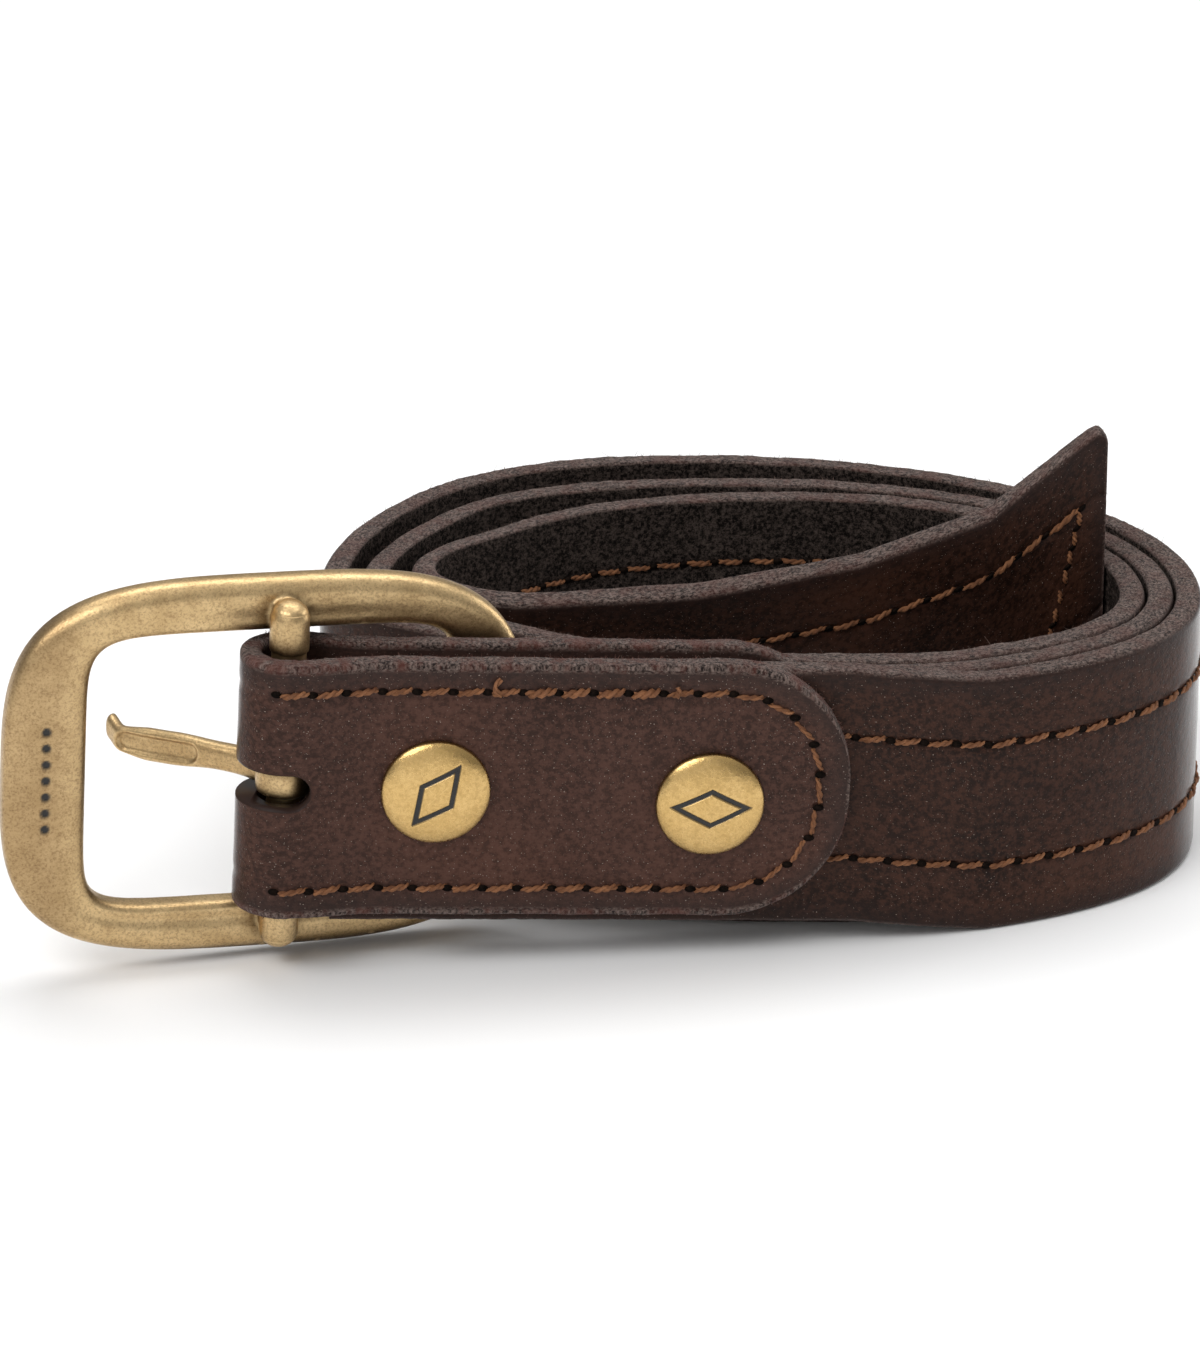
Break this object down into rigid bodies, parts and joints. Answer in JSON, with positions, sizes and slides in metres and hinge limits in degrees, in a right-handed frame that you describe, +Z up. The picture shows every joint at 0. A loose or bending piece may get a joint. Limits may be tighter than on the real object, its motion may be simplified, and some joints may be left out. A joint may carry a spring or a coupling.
{
  "type": "leather belt",
  "caption": "Rolled full-grain leather belt on its edge, with a folded, stitched buckle tab, domed screw studs and a centre-bar brass buckle with a swinging prong.",
  "frame": {"origin": "centre of the bounding box in plan, on the floor the belt stands on", "axes": "+X from the buckle end to the closed right end of the roll, +Y to the back of the roll, +Z up along the strap's width"},
  "size_m": [0.1682, 0.111, 0.06],
  "materials": {
    "strap_leather": "full grain face, suede back",
    "tab_leather": "full grain on both faces",
    "thread": "two-ply waxed",
    "antique_brass": "sand cast, darkened",
    "satin_brass": "satin"
  },
  "bodies": {
    "belt": {"strap": "strap_leather", "strap_thread_upper_grain": "thread", "strap_thread_upper_flesh": "thread", "strap_thread_lower_grain": "thread", "strap_thread_lower_flesh": "thread", "buckle_tab": "tab_leather", "tab_thread_front": "thread", "tab_thread_back": "thread", "stud_cap_1": "satin_brass", "stud_cap_2": "satin_brass", "stud_screw_1": "satin_brass", "stud_screw_2": "satin_brass"},
    "buckle": {"buckle_frame": "antique_brass", "centre_bar": "antique_brass"},
    "prong": {"prong": "antique_brass"}
  },
  "joints": [
    {"name": "buckle_swing", "type": "hinge", "parent": "belt", "child": "buckle", "pos_m": [-0.04504, -0.04781, 0.02862], "axis": [0.0543, -0.0151, 0.9984], "range_deg": [0, 5]},
    {"name": "prong_swing", "type": "hinge", "parent": "buckle", "child": "prong", "pos_m": [-0.04504, -0.04781, 0.02862], "axis": [0.0543, -0.0151, 0.9984], "range_deg": [-40, 26]}
  ]
}
